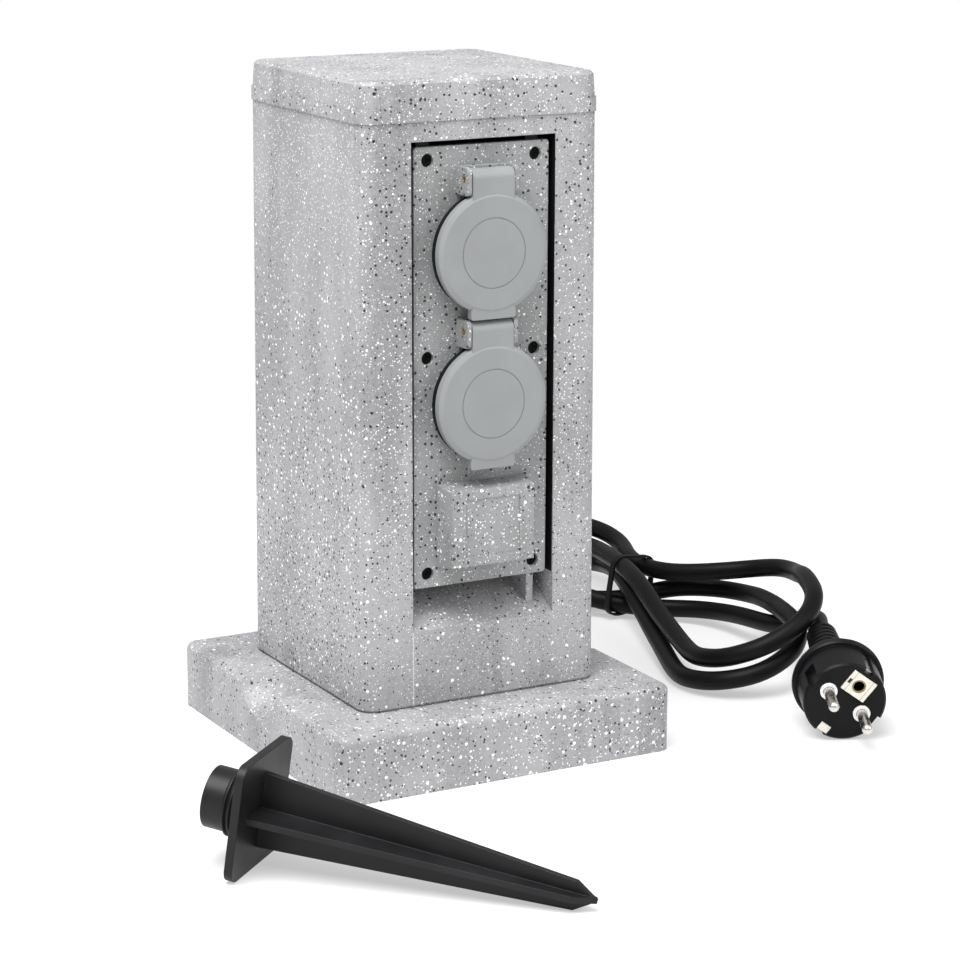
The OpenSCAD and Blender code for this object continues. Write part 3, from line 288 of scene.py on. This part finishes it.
class Sheet:
    """One material's nodes."""

    def __init__(self, name):
        self.material = bpy.data.materials.new(name)
        self.material.use_nodes = True
        self.tree = self.material.node_tree
        self.tree.nodes.clear()
        self.output = self.tree.nodes.new("ShaderNodeOutputMaterial")

    def add(self, kind, settings=None, inputs=None, out=0):
        """Adds a node, sets it, feeds its sockets and returns one of its outputs."""
        node = self.tree.nodes.new(kind)
        for key, value in (settings or {}).items():
            setattr(node, key, value)
        for key, value in (inputs or {}).items():
            socket = node.inputs[key]
            if isinstance(value, Wire):
                self.tree.links.new(value.socket, socket)
            else:
                socket.default_value = value
        return Wire(self, node.outputs[out])

    def place(self):
        return self.add("ShaderNodeTexCoord", out="Object")

    def axes(self, place):
        return [self.add("ShaderNodeSeparateXYZ", inputs={0: place}, out=n) for n in range(3)]

    def noise(self, place, scale, detail=3.0, rough=0.5):
        return self.add(
            "ShaderNodeTexNoise",
            inputs={"Vector": place, "Scale": scale, "Detail": detail, "Roughness": rough},
        )

    def ragged(self, place, scale, reach):
        """A place shifted a little by noise, so that round marks turn out uneven."""
        wander = self.add(
            "ShaderNodeTexNoise", inputs={"Vector": place, "Scale": scale, "Detail": 2.0}, out="Color"
        )
        shift = self.add("ShaderNodeVectorMath", {"operation": "SCALE"}, {0: wander, "Scale": reach})
        return self.add("ShaderNodeVectorMath", {"operation": "ADD"}, {0: place, 1: shift})

    def ease(self, value, low, high, to_low=0.0, to_high=1.0):
        """A soft step of a value between two limits."""
        return self.add(
            "ShaderNodeMapRange",
            {"interpolation_type": "SMOOTHSTEP"},
            {"Value": value, "From Min": low, "From Max": high, "To Min": to_low, "To Max": to_high},
        )

    def mix(self, factor, a, b):
        return self.add(
            "ShaderNodeMix",
            {"data_type": "RGBA"},
            {"Factor": factor, 6: a, 7: b},
            out=2,
        )

    def bump(self, height, strength, distance, normal=None):
        inputs = {"Height": height, "Strength": strength, "Distance": distance}
        if normal is not None:
            inputs["Normal"] = normal
        return self.add("ShaderNodeBump", inputs=inputs)

    def soft_edges(self, radius):
        return self.add("ShaderNodeBevel", {"samples": 4}, {"Radius": radius})

    def surface(self, inputs):
        shader = self.add("ShaderNodeBsdfPrincipled", inputs=inputs)
        self.tree.links.new(shader.socket, self.output.inputs["Surface"])
        return self.material


def rgba(colour):
    return (*colour[:3], 1.0)


def shade(colour, k):
    return (*(min(1.0, c * k) for c in colour[:3]), 1.0)


def dress(material, *names):
    """Gives CAD nodes a material."""
    for name in names:
        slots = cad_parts[name].data.materials
        slots.clear()
        slots.append(material)


def specks(sheet, place, scale, share, radius):
    """Round specks of mixed size in a share of the cells, up to a radius in cells."""
    inputs = {"Vector": place, "Scale": scale, "Randomness": 1.0}
    distance = sheet.add("ShaderNodeTexVoronoi", inputs=inputs)
    tone = sheet.add("ShaderNodeTexVoronoi", inputs=inputs, out="Color")
    pick = sheet.add("ShaderNodeSeparateColor", inputs={0: tone})
    size = sheet.add("ShaderNodeSeparateColor", inputs={0: tone}, out=1)
    edge = radius * (0.45 + 0.55 * size)
    dot = sheet.ease(distance, edge * 0.9, edge * 1.1, 1.0, 0.0)
    return dot * (pick < share)


def stone_finish(name, finish, coarse, tint, pillar=False):
    """Stone-look moulded plastic: mottled grey with specks. The pillar has a mould line and painted shade,
    near black, on the recess walls round the panel.
    """
    sheet = Sheet(name)
    place = sheet.place()
    stretch = sheet.add("ShaderNodeMapping", inputs={0: place, "Scale": (1.0, 1.0, 0.45)})
    drip = sheet.add("ShaderNodeMapping", inputs={0: place, "Scale": (1.0, 1.0, 0.16)})
    cloud = sheet.noise(stretch, 26.0, 5.0, 0.6)
    smear = sheet.noise(drip, 30.0, 4.0, 0.6)
    grain = sheet.noise(place, 800.0, 3.0, 0.6)
    base = sheet.mix(sheet.ease(cloud, 0.34, 0.66), shade(tint, 0.84), shade(tint, 1.1))
    base = sheet.mix(sheet.ease(smear, 0.53, 0.7) * finish.smears, base, shade(tint, 0.45))
    base = sheet.mix(sheet.ease(grain, 0.42, 0.78) * 0.55, base, shade(tint, 1.3))
    rough_place = sheet.ragged(place, 420.0, 0.0011)
    fine = specks(sheet, rough_place, 900.0 / coarse, finish.fine_specks, 0.33)
    large = specks(sheet, rough_place, 400.0 / coarse, finish.large_specks, 0.3)
    dark = specks(sheet, rough_place, 430.0 / coarse, finish.dark_specks, 0.3)
    dust = specks(sheet, rough_place, 980.0 / coarse, finish.dark_specks * 0.7, 0.3)
    base = sheet.mix(dust * 0.75, base, rgba(finish.speck_and_shade_black))
    base = sheet.mix(fine * 0.8, base, rgba(finish.speck_white))
    base = sheet.mix(large, base, rgba(finish.speck_white))
    base = sheet.mix(dark * 0.95, base, rgba(finish.speck_and_shade_black))
    if pillar:
        x, y, z = sheet.axes(place)
        line = (abs(x - LINE_X) < LINE_HALF) * (y < LINE_Y) * (z < LINE_Z)
        base = sheet.mix(line * 0.35, base, rgba(finish.speck_white))
        # Painted shade: the recess walls round the panel are painted near black, standing in for the shade
        # in the gap.
        shade_wide = (abs(x) < GAP_SHADE_HALF) * (y > GAP_SHADE_FRONT) * (y < GAP_SHADE_REAR)
        shade_tall = (z > GAP_SHADE_LOW) * (z < GAP_SHADE_HIGH)
        base = sheet.mix(shade_wide * shade_tall, base, rgba(finish.speck_and_shade_black))
    rough = sheet.ease(grain, 0.3, 0.7, finish.stone_rough - 0.05, finish.stone_rough + 0.08)
    relief = sheet.bump(grain + (fine + large) * 0.3, 0.12, 0.0004, sheet.soft_edges(0.0006))
    return sheet.surface({"Base Color": base, "Roughness": rough, "Normal": relief})


def moulded_finish(name, colour, rough, relief=0.06, edge=0.0005, spread=0.05, gloss=0.5):
    """Plain moulded plastic or rubber with a faint grain."""
    sheet = Sheet(name)
    place = sheet.place()
    cloud = sheet.noise(place, 40.0, 3.0)
    grain = sheet.noise(place, 900.0, 2.0)
    base = sheet.mix(sheet.ease(cloud, 0.3, 0.7), shade(colour, 1 - spread), shade(colour, 1 + spread))
    dull = sheet.ease(cloud, 0.3, 0.7, rough - 0.04, rough + 0.06)
    normal = sheet.bump(grain, relief, 0.0003, sheet.soft_edges(edge))
    return sheet.surface(
        {"Base Color": base, "Roughness": dull, "Normal": normal, "Specular IOR Level": gloss}
    )


def insert_finish(name, finish):
    """The plug's pale earth insert: a brass ring round its hole, two frame lines and a notch."""
    sheet = Sheet(name)
    place = sheet.place()
    yaw, tilt, roll = [math.radians(a) for a in (PLUG_YAW, PLUG_TILT, PLUG_ROLL)]
    lean = Matrix.Rotation(math.pi / 2 + tilt, 3, "X")
    turn = Matrix.Rotation(yaw, 3, "Z") @ lean @ Matrix.Rotation(roll, 3, "Z")
    hole = (PLUG_FACE + turn @ Vector((0.0, EARTH_Y, 0.0))) * MM
    away = sheet.add("ShaderNodeVectorMath", {"operation": "SUBTRACT"}, {0: place, 1: tuple(hole)})
    u, v = [
        sheet.add("ShaderNodeVectorMath", {"operation": "DOT_PRODUCT"}, {0: away, 1: tuple(axis)}, out=1)
        for axis in (turn.col[0], turn.col[1])
    ]
    grain = sheet.noise(place, 900.0, 2.0)
    base = sheet.mix(sheet.ease(grain, 0.3, 0.7), shade(finish.insert, 0.94), shade(finish.insert, 1.05))
    lines = abs(abs(u) - FRAME_AT * MM) < FRAME_HALF * MM
    notch = (abs(u + NOTCH_AT * MM) < NOTCH_HALF_W * MM) * (abs(v) < NOTCH_HALF_H * MM)
    ring = u * u + v * v < (RING_R * MM) ** 2
    base = sheet.mix(lines * 0.6, base, shade(finish.steel, 0.5))
    base = sheet.mix(notch, base, rgba(finish.speck_and_shade_black))
    base = sheet.mix(ring, base, shade(finish.brass, 0.35))
    dull = sheet.ease(grain, 0.3, 0.7, 0.36, 0.44)
    return sheet.surface({"Base Color": base, "Roughness": dull, "Normal": sheet.soft_edges(0.0002)})


def metal_finish(name, colour, rough):
    """Drawn or plated metal with faint wipe marks."""
    sheet = Sheet(name)
    marks = sheet.noise(sheet.place(), 300.0, 1.0)
    base = sheet.mix(sheet.ease(marks, 0.3, 0.7), shade(colour, 0.9), shade(colour, 1.05))
    dull = sheet.ease(marks, 0.3, 0.7, rough - 0.04, rough + 0.06)
    normal = sheet.soft_edges(0.0002)
    return sheet.surface(
        {"Base Color": base, "Roughness": dull, "Metallic": 1.0, "Normal": normal}
    )


def colour_prop(name, description, default):
    return FloatVectorProperty(
        name=name, description=description, default=default, size=3, min=0.0, max=1.0, subtype="COLOR"
    )


def share_prop(name, description, default):
    return FloatProperty(
        name=name, description=description, default=default, min=0.0, max=1.0, subtype="FACTOR"
    )


def length_prop(name, description, default, **limits):
    return FloatProperty(name=name, description=description, default=default, unit="LENGTH", **limits)


class PostFinish(bpy.types.PropertyGroup):
    """Colours and finishes of the post."""

    stone: colour_prop("Stone", "Main grey of the stone-look plastic", (0.324, 0.323, 0.334))
    panel: colour_prop("Panel", "Grey of the socket panel", (0.262, 0.27, 0.272))
    speck_white: colour_prop("White specks", "Colour of the pale specks", (0.9, 0.9, 0.9))
    # This black colours the dark specks and is also the painted shade on the pillar's recess walls round
    # the panel.
    speck_and_shade_black: colour_prop("Dark specks", "Colour of the dark specks", (0.004, 0.004, 0.004))
    fine_specks: share_prop("Fine specks", "Share of fine pale specks", 0.6)
    large_specks: share_prop("Large specks", "Share of large pale specks", 0.27)
    dark_specks: share_prop("Dark specks", "Share of dark specks", 0.5)
    smears: share_prop("Smears", "Strength of the dark smears", 0.52)
    stone_rough: FloatProperty(
        name="Stone roughness",
        description="Roughness of the stone-look plastic",
        default=0.48,
        min=0.1,
        max=1.0,
    )
    lid: colour_prop("Lids", "Grey of the socket lids", (0.246, 0.255, 0.26))
    rubber: colour_prop("Rubber", "Colour of the lead, plug and seals", (0.0045, 0.0044, 0.0052))
    spike: colour_prop("Spike", "Colour of the ground spike", (0.012, 0.0118, 0.013))
    brass: colour_prop("Brass", "Colour of the pins and contacts", (0.70, 0.50, 0.20))
    nickel: colour_prop("Nickel", "Colour of the plug's pins", (0.72, 0.70, 0.66))
    steel: colour_prop("Steel", "Colour of the screws and springs", (0.55, 0.55, 0.56))
    insert: colour_prop("Earth insert", "Colour of the plug's earth insert", (0.72, 0.69, 0.61))


class CordLay(bpy.types.PropertyGroup):
    """The mains lead."""

    diameter: length_prop("Diameter", "Diameter of the lead", CORD_D * MM, min=0.006, max=0.012)
    length: length_prop("Length", "Length of the lead from its sleeve to its plug", 1.73)
    step: length_prop("Step", "Distance between the tube's rings", 0.0035, min=0.001, max=0.01)
    sides: IntProperty(name="Sides", description="Sides of the tube", default=24, min=8, max=48)
    relax: IntProperty(name="Relax", description="Rounds that even out the lay", default=6, min=0, max=8)


class StudioStage(bpy.types.PropertyGroup):
    """Floor, lamps and camera."""

    floor: colour_prop("Floor", "Colour of the floor", (0.87, 0.87, 0.87))
    key: FloatProperty(name="Key", description="Power of the main lamp", default=50.0, unit="POWER")
    fill: FloatProperty(name="Fill", description="Power of the side lamp", default=7.0, unit="POWER")
    sky: FloatProperty(name="Sky", description="Strength of the even light", default=0.47, min=0.0)
    lens: FloatProperty(name="Lens", description="Focal length", default=112.17, min=10.0, unit="CAMERA")


class POST_OT_camera(bpy.types.Operator):
    """Places the camera at the photograph's viewpoint"""

    bl_idname = "post.camera"
    bl_label = "Camera"

    def execute(self, context):
        data = bpy.data.cameras.new("viewpoint")
        data.sensor_width = 36.0
        data.sensor_fit = "HORIZONTAL"
        data.lens = context.scene.post_stage.lens
        data.clip_end = 50.0
        camera = bpy.data.objects.new("viewpoint", data)
        back = CAMERA_RIGHT.cross(CAMERA_UP)
        pose = Matrix((CAMERA_RIGHT, CAMERA_UP, back)).transposed().to_4x4()
        pose.translation = CAMERA_AT * MM
        camera.matrix_world = pose
        context.scene.collection.objects.link(camera)
        context.scene.camera = camera
        return {"FINISHED"}


class POST_OT_cord(bpy.types.Operator):
    """Lays the mains lead in its tied hank"""

    bl_idname = "post.cord"
    bl_label = "Mains lead"

    def execute(self, context):
        lay = context.scene.post_cord
        finish = context.scene.post_finish
        points = [p * MM for p in cord_route()]
        route = relaxed(smooth_route(points, lay.step), lay.relax)
        mesh = tube_mesh("mains_lead", route, lay.diameter / 2, lay.sides)
        lead = bpy.data.objects.new("mains_lead", mesh)
        context.scene.collection.objects.link(lead)
        rubber = moulded_finish(
            "lead_rubber", finish.rubber, 0.44, relief=0.1, edge=0.0001, spread=0.2, gloss=0.13
        )
        mesh.materials.append(rubber)
        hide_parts("cord_outlet_run", "cord_hank", "cord_plug_run")
        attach(lead, "post")
        return {"FINISHED"}


class POST_OT_stone(bpy.types.Operator):
    """Gives the base, pillar, cap and panel their stone look"""

    bl_idname = "post.stone"
    bl_label = "Stone-look plastic"

    def execute(self, context):
        finish = context.scene.post_finish
        dress(stone_finish("cap_plastic", finish, 1.0, finish.stone), "top_cap")
        dress(stone_finish("base_plastic", finish, 1.08, finish.stone), "base_plate")
        dress(stone_finish("pillar_plastic", finish, 1.0, finish.stone, pillar=True), "pillar_shell")
        dress(stone_finish("panel_plastic", finish, 1.05, finish.panel), "socket_panel")
        return {"FINISHED"}


class POST_OT_lids(bpy.types.Operator):
    """Finishes the lids, the seals and the other rubber parts"""

    bl_idname = "post.lids"
    bl_label = "Lids and seals"

    def execute(self, context):
        finish = context.scene.post_finish
        dress(moulded_finish("lid_plastic", finish.lid, 0.42, relief=0.04), "upper_lid", "lower_lid")
        dress(
            moulded_finish("seal_rubber", finish.rubber, 0.6, gloss=0.2),
            "upper_lid_seal", "lower_lid_seal", "panel_seal", "cord_sleeve", "inner_cable", "cord_tie",
        )
        return {"FINISHED"}


class POST_OT_sockets(bpy.types.Operator):
    """Finishes the sockets, their housing, the gland, the metal parts and the panel's screws"""

    bl_idname = "post.sockets"
    bl_label = "Sockets and housing"

    def execute(self, context):
        finish = context.scene.post_finish
        dress(
            moulded_finish("socket_plastic", (0.03, 0.03, 0.032), 0.4),
            "upper_socket", "lower_socket", "rear_housing", "cable_gland",
        )
        dress(
            metal_finish("brass", finish.brass, 0.3),
            "upper_hinge_pin", "lower_hinge_pin", "upper_contacts", "lower_contacts",
            "upper_earth_clip", "lower_earth_clip",
        )
        dress(
            metal_finish("zinc_steel", finish.steel, 0.38),
            "base_screws", "housing_screws", "upper_lid_spring", "lower_lid_spring",
        )
        dress(moulded_finish("black_screws", (0.003, 0.003, 0.003), 0.5, gloss=0.12), "panel_screws")
        return {"FINISHED"}


class POST_OT_wiring(bpy.types.Operator):
    """Finishes the wires inside the post"""

    bl_idname = "post.wiring"
    bl_label = "Wiring"

    def execute(self, context):
        for name, colour in (
            ("live_wire", (0.16, 0.07, 0.03)),
            ("neutral_wire", (0.05, 0.13, 0.42)),
            ("earth_wire", (0.22, 0.42, 0.04)),
        ):
            dress(moulded_finish(name + "_cover", colour, 0.4), name)
        return {"FINISHED"}


class POST_OT_plug(bpy.types.Operator):
    """Finishes the plug and its pins"""

    bl_idname = "post.plug"
    bl_label = "Plug"

    def execute(self, context):
        finish = context.scene.post_finish
        rubber = moulded_finish(
            "plug_rubber", finish.rubber, 0.36, relief=0.05, edge=0.0006, spread=0.2, gloss=0.15
        )
        dress(rubber, "plug_body", "plug_sleeve")
        dress(metal_finish("nickel", finish.nickel, 0.28), "plug_pins", "plug_earth_strips")
        dress(moulded_finish("collar_white", (0.8, 0.8, 0.8), 0.35), "plug_pin_collars")
        dress(insert_finish("insert_cream", finish), "plug_earth")
        return {"FINISHED"}


class POST_OT_spike(bpy.types.Operator):
    """Finishes the ground spike"""

    bl_idname = "post.spike"
    bl_label = "Ground spike"

    def execute(self, context):
        finish = context.scene.post_finish
        plastic = moulded_finish(
            "spike_plastic", finish.spike, 0.4, relief=0.08, edge=0.0006, spread=0.25, gloss=0.27
        )
        dress(plastic, "ground_spike")
        return {"FINISHED"}


class POST_OT_stage(bpy.types.Operator):
    """Adds the floor, the lamps and the even light"""

    bl_idname = "post.stage"
    bl_label = "Floor and lamps"

    def execute(self, context):
        stage = context.scene.post_stage
        context.scene.view_settings.view_transform = "Standard"
        self.floor(context, stage)
        self.world(context, stage)
        self.lamp(context, "key", KEY_AT, KEY_SIZE, stage.key)
        self.lamp(context, "fill", FILL_AT, FILL_SIZE, stage.fill)
        return {"FINISHED"}

    def floor(self, context, stage):
        mesh = bpy.data.meshes.new("floor")
        r = FLOOR_HALF
        mesh.from_pydata([(-r, -r, 0), (r, -r, 0), (r, r, 0), (-r, r, 0)], [], [(0, 1, 2, 3)])
        floor = bpy.data.objects.new("floor", mesh)
        context.scene.collection.objects.link(floor)
        sheet = Sheet("studio_floor")
        place = sheet.add("ShaderNodeVectorMath", {"operation": "LENGTH"}, {0: sheet.place()}, out="Value")
        far = sheet.ease(place, 0.2, 0.7, 0.45, 1.0)
        path = sheet.tree.nodes.new("ShaderNodeLightPath")
        rays = ("Is Camera Ray", "Is Glossy Ray", "Is Transmission Ray")
        seen = [Wire(sheet, path.outputs[n]) for n in rays]
        white = sheet.add("ShaderNodeEmission", inputs={"Color": (1, 1, 1, 1), "Strength": 1.0})
        matt = sheet.add("ShaderNodeBsdfDiffuse", inputs={"Color": rgba(stage.floor)})
        shader = sheet.add(
            "ShaderNodeMixShader",
            inputs={0: far * (seen[0] + seen[1] + seen[2]), 1: matt, 2: white},
        )
        sheet.tree.links.new(shader.socket, sheet.output.inputs["Surface"])
        mesh.materials.append(sheet.material)

    def world(self, context, stage):
        world = bpy.data.worlds.new("studio")
        world.use_nodes = True
        tree = world.node_tree
        tree.nodes.clear()
        out = tree.nodes.new("ShaderNodeOutputWorld")
        path = tree.nodes.new("ShaderNodeLightPath")
        even = tree.nodes.new("ShaderNodeBackground")
        even.inputs["Color"].default_value = (1, 1, 1, 1)
        even.inputs["Strength"].default_value = stage.sky
        seen = tree.nodes.new("ShaderNodeBackground")
        seen.inputs["Color"].default_value = (1, 1, 1, 1)
        mix = tree.nodes.new("ShaderNodeMixShader")
        tree.links.new(path.outputs["Is Camera Ray"], mix.inputs[0])
        tree.links.new(even.outputs[0], mix.inputs[1])
        tree.links.new(seen.outputs[0], mix.inputs[2])
        tree.links.new(mix.outputs[0], out.inputs["Surface"])
        context.scene.world = world

    def lamp(self, context, name, place, size, power):
        data = bpy.data.lights.new(name, "AREA")
        data.energy = power
        data.size = size
        lamp = bpy.data.objects.new(name, data)
        lamp.location = place
        aim = LAMP_AIM - Vector(place)
        lamp.rotation_euler = aim.to_track_quat("-Z", "Y").to_euler()
        context.scene.collection.objects.link(lamp)


PIECES = (
    POST_OT_camera,
    POST_OT_cord,
    POST_OT_stone,
    POST_OT_lids,
    POST_OT_sockets,
    POST_OT_wiring,
    POST_OT_plug,
    POST_OT_spike,
    POST_OT_stage,
)
GROUPS = (("post_finish", PostFinish), ("post_cord", CordLay), ("post_stage", StudioStage))


class POST_PT_panel(bpy.types.Panel):
    """Lists the steps that dress the post"""

    bl_idname = "POST_PT_panel"
    bl_label = "Garden socket post"
    bl_space_type = "VIEW_3D"
    bl_region_type = "UI"
    bl_category = "Socket post"

    def draw(self, context):
        for name, group in GROUPS:
            box = self.layout.box()
            box.label(text=group.__doc__)
            for prop in group.__annotations__:
                box.prop(getattr(context.scene, name), prop)
        for piece in PIECES:
            self.layout.operator(piece.bl_idname)


def register():
    for name, group in GROUPS:
        bpy.utils.register_class(group)
        setattr(bpy.types.Scene, name, PointerProperty(type=group))
    for piece in (*PIECES, POST_PT_panel):
        bpy.utils.register_class(piece)


def unregister():
    for piece in (POST_PT_panel, *reversed(PIECES)):
        bpy.utils.unregister_class(piece)
    for name, group in reversed(GROUPS):
        delattr(bpy.types.Scene, name)
        bpy.utils.unregister_class(group)


def main():
    register()
    for piece in PIECES:
        area, step = piece.bl_idname.split(".")
        getattr(getattr(bpy.ops, area), step)()


if __name__ == "__main__":
    main()
